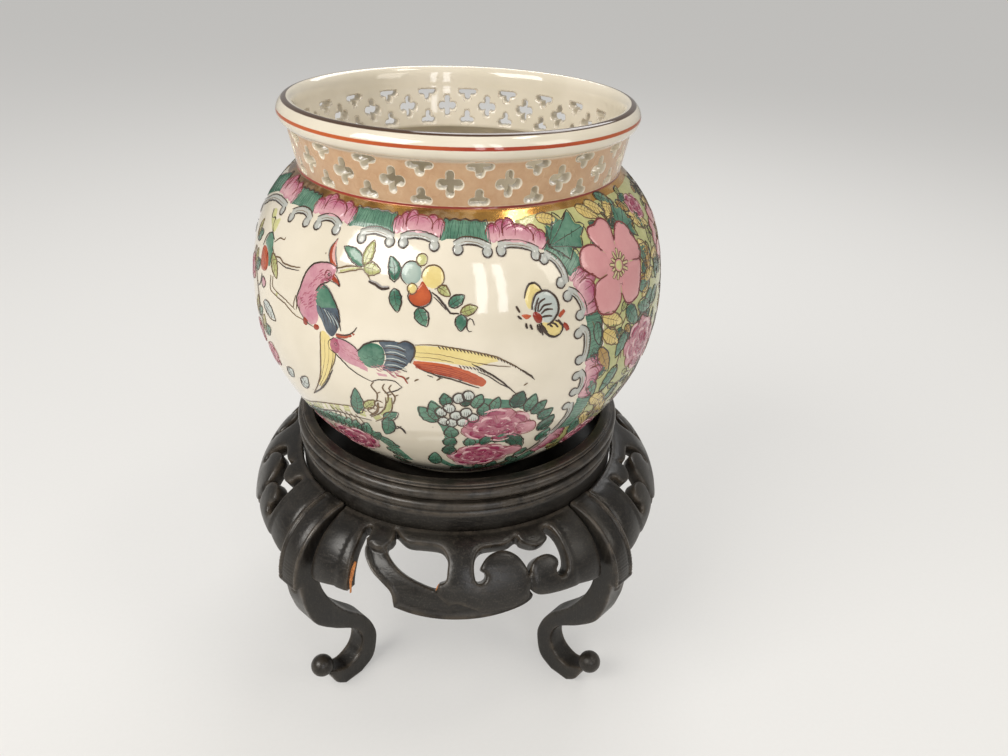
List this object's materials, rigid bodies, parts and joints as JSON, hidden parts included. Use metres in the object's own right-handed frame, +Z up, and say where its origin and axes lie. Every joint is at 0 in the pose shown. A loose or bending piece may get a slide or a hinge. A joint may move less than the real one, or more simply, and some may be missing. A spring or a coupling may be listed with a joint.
{
  "type": "pierced porcelain bowl on stand",
  "caption": "Round-bellied porcelain bowl with a pierced flaring collar, standing in a carved openwork wooden stand with scroll feet.",
  "frame": {"origin": "on the table, under the middle of the bowl", "axes": "+Z up; -Y towards the viewer, through the middle of the front apron panel; legs on the diagonals"},
  "size_m": [0.1092, 0.1092, 0.1475],
  "materials": {
    "ebonised_wood": "satin, near-black stain",
    "porcelain": "glossy glaze with overglaze enamels"
  },
  "bodies": {
    "stand": {"stand_rim_ring": "ebonised_wood", "stand_waist_ring": "ebonised_wood", "stand_floor_board": "ebonised_wood", "apron_panel_front": "ebonised_wood", "apron_panel_right": "ebonised_wood", "apron_panel_back": "ebonised_wood", "apron_panel_left": "ebonised_wood", "leg_front_right": "ebonised_wood", "leg_back_right": "ebonised_wood", "leg_back_left": "ebonised_wood", "leg_front_left": "ebonised_wood"},
    "bowl": {"bowl": "porcelain"}
  },
  "joints": [
    {"name": "bowl_lift", "type": "slide", "parent": "stand", "child": "bowl", "axis": [0, 0, 1], "range_m": [0, 0.09]}
  ]
}
